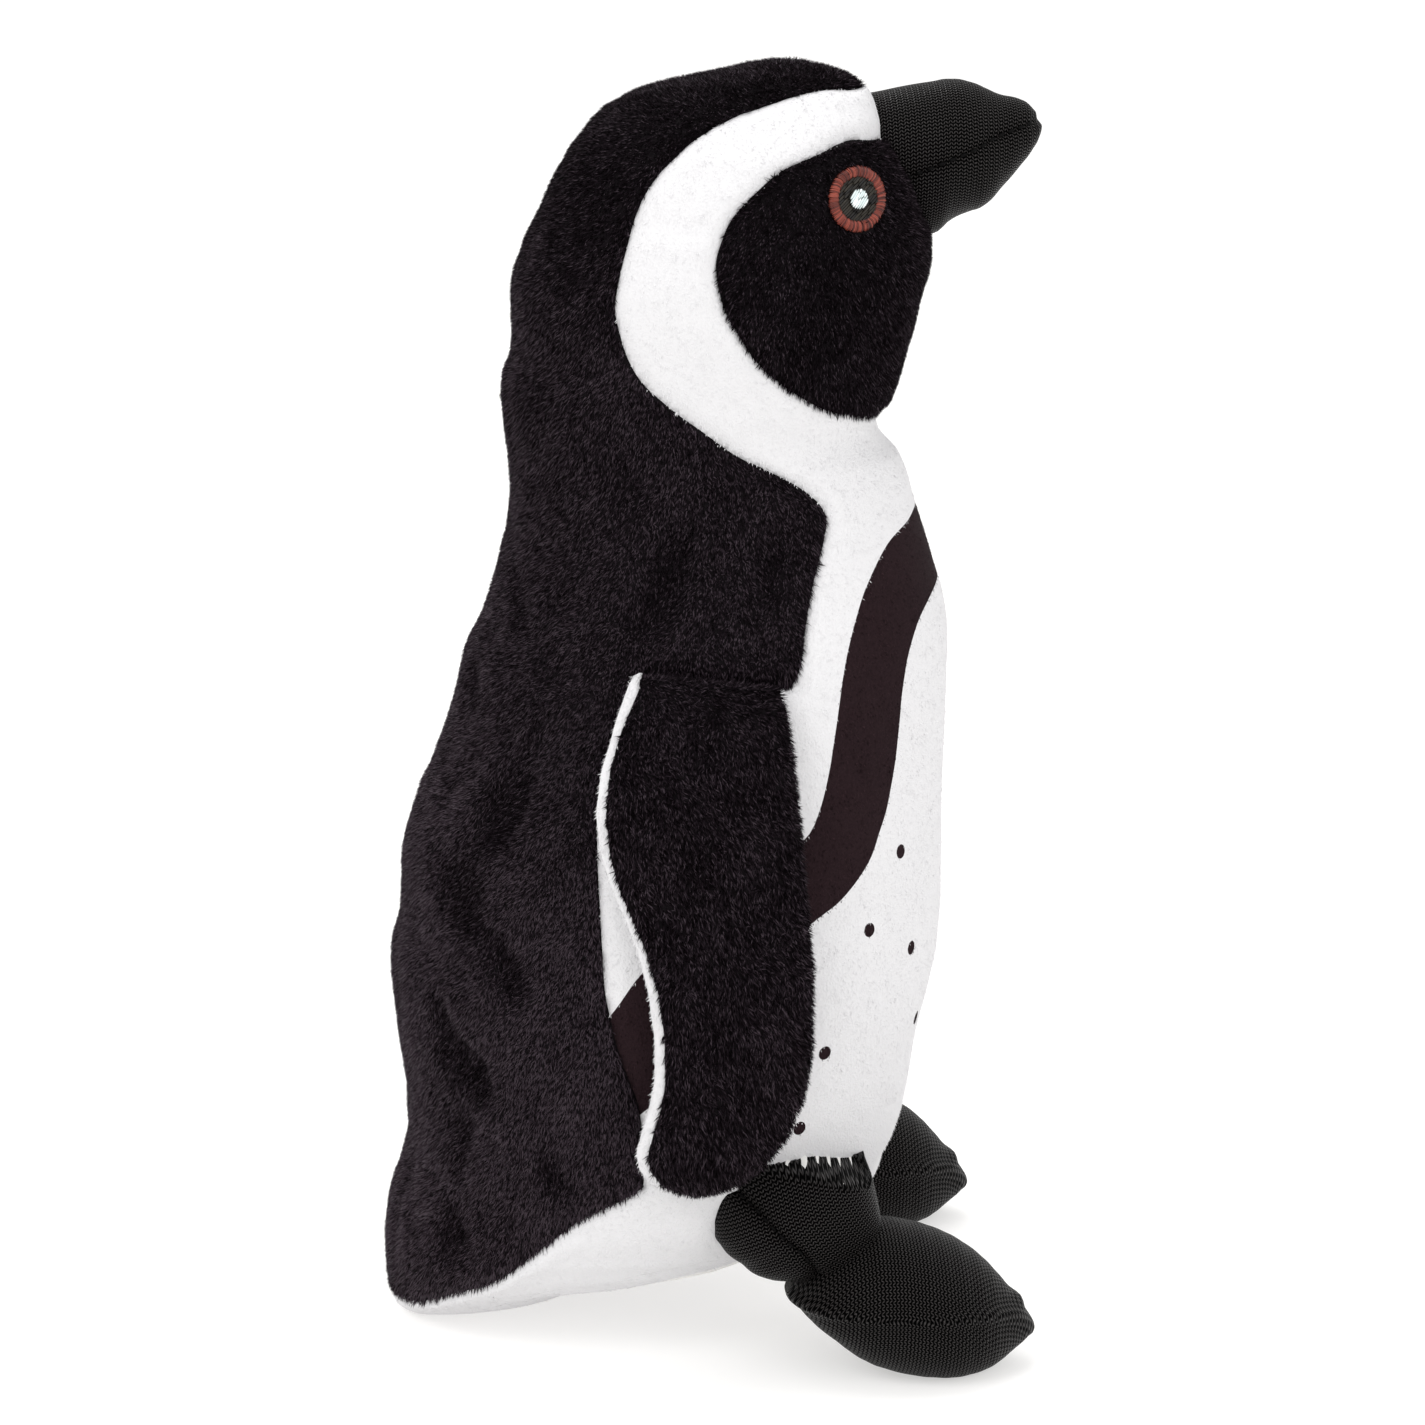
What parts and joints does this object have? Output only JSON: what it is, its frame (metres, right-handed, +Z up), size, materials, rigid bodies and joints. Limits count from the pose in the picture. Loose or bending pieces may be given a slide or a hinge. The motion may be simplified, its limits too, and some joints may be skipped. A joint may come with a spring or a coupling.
{
  "type": "plush penguin",
  "caption": "Stuffed plush penguin standing on two feet and its tail, with flippers that lift and feet that flex at the ankles.",
  "frame": {"origin": "on the floor, in the middle of the footprint box", "axes": "+Z up, the penguin faces -Y, its right side is -X"},
  "size_m": [0.1246, 0.1334, 0.25],
  "materials": {
    "black_minky": "soft napped pile",
    "white_minky": "short napped pile",
    "knit_mesh": "warp-knit mesh",
    "rust_thread": "satin embroidery thread",
    "dark_thread": "satin embroidery thread",
    "white_thread": "satin embroidery thread",
    "fibrefill": "loose polyester fibre"
  },
  "bodies": {
    "torso": {"back_panel_right": "black_minky", "back_panel_left": "black_minky", "face_mask_right": "black_minky", "face_mask_left": "black_minky", "front_panel_right": "white_minky", "front_panel_left": "white_minky", "underside_panel": "white_minky", "head_stuffing": "fibrefill", "body_stuffing": "fibrefill", "beak_upper": "knit_mesh", "beak_lower": "knit_mesh", "beak_stuffing": "fibrefill", "eye_ring_right": "rust_thread", "eye_ring_left": "rust_thread", "eye_pupil_right": "dark_thread", "eye_pupil_left": "dark_thread", "eye_highlight_right": "white_thread", "eye_highlight_left": "white_thread", "leg_front_right": "knit_mesh", "leg_front_left": "knit_mesh", "leg_rear_right": "knit_mesh", "leg_rear_left": "knit_mesh", "leg_stuffing_right": "fibrefill", "leg_stuffing_left": "fibrefill"},
    "right_flipper": {"flipper_outer_right": "black_minky", "flipper_inner_right": "white_minky", "flipper_stuffing_right": "fibrefill"},
    "left_flipper": {"flipper_outer_left": "black_minky", "flipper_inner_left": "white_minky", "flipper_stuffing_left": "fibrefill"},
    "right_foot": {"foot_top_right": "knit_mesh", "foot_sole_right": "knit_mesh", "foot_stuffing_right": "fibrefill"},
    "left_foot": {"foot_top_left": "knit_mesh", "foot_sole_left": "knit_mesh", "foot_stuffing_left": "fibrefill"}
  },
  "joints": [
    {"name": "right_shoulder", "type": "hinge", "parent": "torso", "child": "right_flipper", "pos_m": [-0.045, 0.004, 0.1375], "axis": [0, 1, 0], "range_deg": [0, 100]},
    {"name": "left_shoulder", "type": "hinge", "parent": "torso", "child": "left_flipper", "pos_m": [0.045, 0.004, 0.1375], "axis": [0, -1, 0], "range_deg": [0, 100]},
    {"name": "right_ankle", "type": "hinge", "parent": "torso", "child": "right_foot", "pos_m": [-0.045, -0.0199, 0.0238], "axis": [-1, 0, 0], "range_deg": [-15, 15], "stiffness_Nm_per_rad": 0.4},
    {"name": "left_ankle", "type": "hinge", "parent": "torso", "child": "left_foot", "pos_m": [0.045, -0.0199, 0.0238], "axis": [-1, 0, 0], "range_deg": [-15, 15], "stiffness_Nm_per_rad": 0.4}
  ]
}
